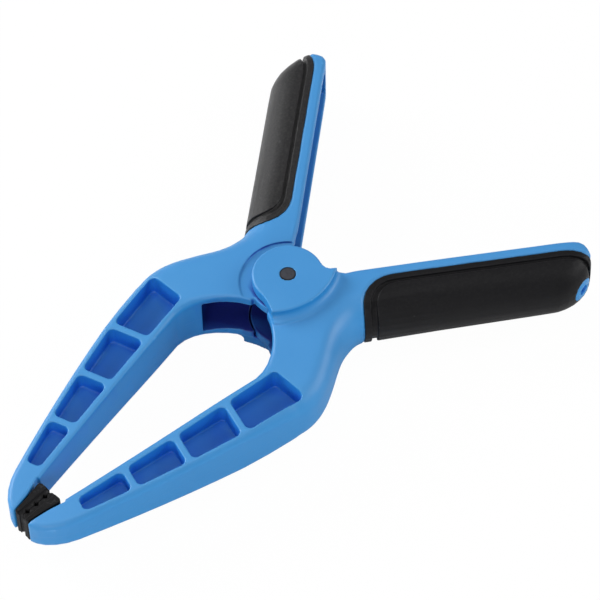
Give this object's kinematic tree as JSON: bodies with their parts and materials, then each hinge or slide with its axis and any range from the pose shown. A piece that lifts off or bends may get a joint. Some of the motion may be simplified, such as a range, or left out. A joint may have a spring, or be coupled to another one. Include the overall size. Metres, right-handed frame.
{
  "type": "spring clamp",
  "caption": "Hand-squeezed spring clamp with pocketed moulded jaws, swivelling serrated pads, a pinned hub with a hidden torsion spring and soft hollow handles.",
  "frame": {"origin": "the pivot axis where it meets the plane the clamp lies on", "axes": "+Z along the pivot axis, away from the surface it lies on; +X from the jaws towards the handles along the closing line of the jaws; +Y towards the upper arm"},
  "size_m": [0.2701, 0.185, 0.041],
  "materials": {
    "arm_plastic": "satin moulded, bright blue",
    "grip_rubber": "matte soft over-moulding, charcoal",
    "pad_rubber": "matte, near black",
    "black_metal": "rough blackened end faces",
    "spring_steel": "drawn wire, lightly oiled"
  },
  "bodies": {
    "lower_arm": {"lower_arm": "arm_plastic", "lower_grip": "grip_rubber", "pivot_pin": "black_metal", "torsion_spring": "spring_steel"},
    "upper_arm": {"upper_arm": "arm_plastic", "upper_grip": "grip_rubber"},
    "lower_pad": {"lower_pad": "pad_rubber"},
    "upper_pad": {"upper_pad": "pad_rubber"}
  },
  "joints": [
    {"name": "jaw_pivot", "type": "hinge", "parent": "lower_arm", "child": "upper_arm", "pos_m": [0, 0, 0.0205], "axis": [0, 0, -1], "range_deg": [0, 66], "stiffness_Nm_per_rad": 3.9, "springref_deg": -60.16, "deforming": ["torsion_spring"]},
    {"name": "upper_pad_swivel", "type": "hinge", "parent": "upper_arm", "child": "upper_pad", "pos_m": [-0.1536, 0.0081, 0.0205], "axis": [0, 0, 1], "range_deg": [0, 10]},
    {"name": "lower_pad_swivel", "type": "hinge", "parent": "lower_arm", "child": "lower_pad", "pos_m": [-0.1536, -0.0081, 0.0205], "axis": [0, 0, -1], "range_deg": [0, 10]}
  ],
  "couplings": [
    {"joint": "upper_pad_swivel", "follows": "jaw_pivot", "ratio": 0.1515},
    {"joint": "lower_pad_swivel", "follows": "jaw_pivot", "ratio": 0.1515}
  ]
}
